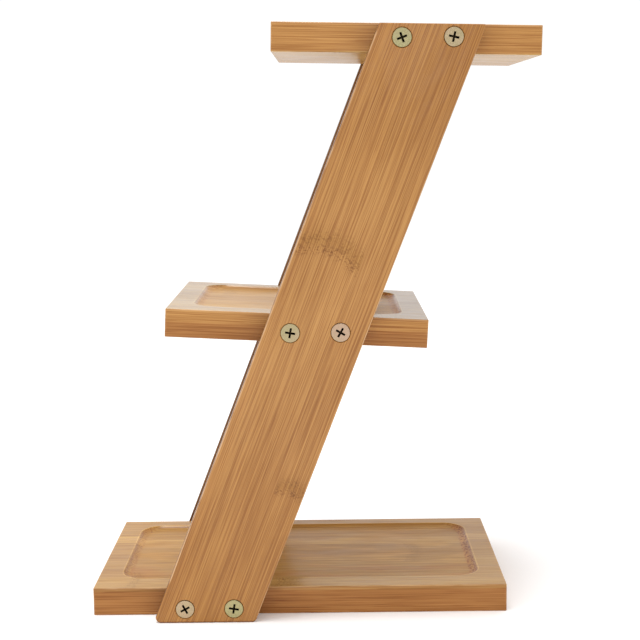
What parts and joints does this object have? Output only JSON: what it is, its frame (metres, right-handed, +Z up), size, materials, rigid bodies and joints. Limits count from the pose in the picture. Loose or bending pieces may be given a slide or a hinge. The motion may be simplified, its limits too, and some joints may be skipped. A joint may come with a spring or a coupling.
{
  "type": "tiered shelf riser",
  "caption": "Tiered bamboo tabletop shelf: routed trays, the lowest the longest, held one above another between leaning bars by countersunk screws.",
  "frame": {"origin": "centre of the bottom tray's underside, on the floor that the stand rests on", "axes": "+Z up; +X to the right of whoever faces the front, the way the bars lean; +Y from the front bar to the rear bar"},
  "size_m": [0.2304, 0.1426, 0.3017],
  "materials": {
    "bar_bamboo": "satin lacquered laminated bamboo, long fine grain",
    "tray_bamboo": "satin lacquered laminated bamboo in strips of mixed tone",
    "yellow_zinc": "yellow passivated zinc plating"
  },
  "bodies": {
    "root": {"front_bar": "bar_bamboo", "rear_bar": "bar_bamboo", "bottom_tray": "tray_bamboo", "middle_tray": "tray_bamboo", "top_tray": "tray_bamboo", "screw_front_bottom_left": "yellow_zinc", "screw_front_bottom_right": "yellow_zinc", "screw_front_middle_left": "yellow_zinc", "screw_front_middle_right": "yellow_zinc", "screw_front_top_left": "yellow_zinc", "screw_front_top_right": "yellow_zinc", "screw_rear_bottom_left": "yellow_zinc", "screw_rear_bottom_right": "yellow_zinc", "screw_rear_middle_left": "yellow_zinc", "screw_rear_middle_right": "yellow_zinc", "screw_rear_top_left": "yellow_zinc", "screw_rear_top_right": "yellow_zinc"}
  },
  "joints": []
}
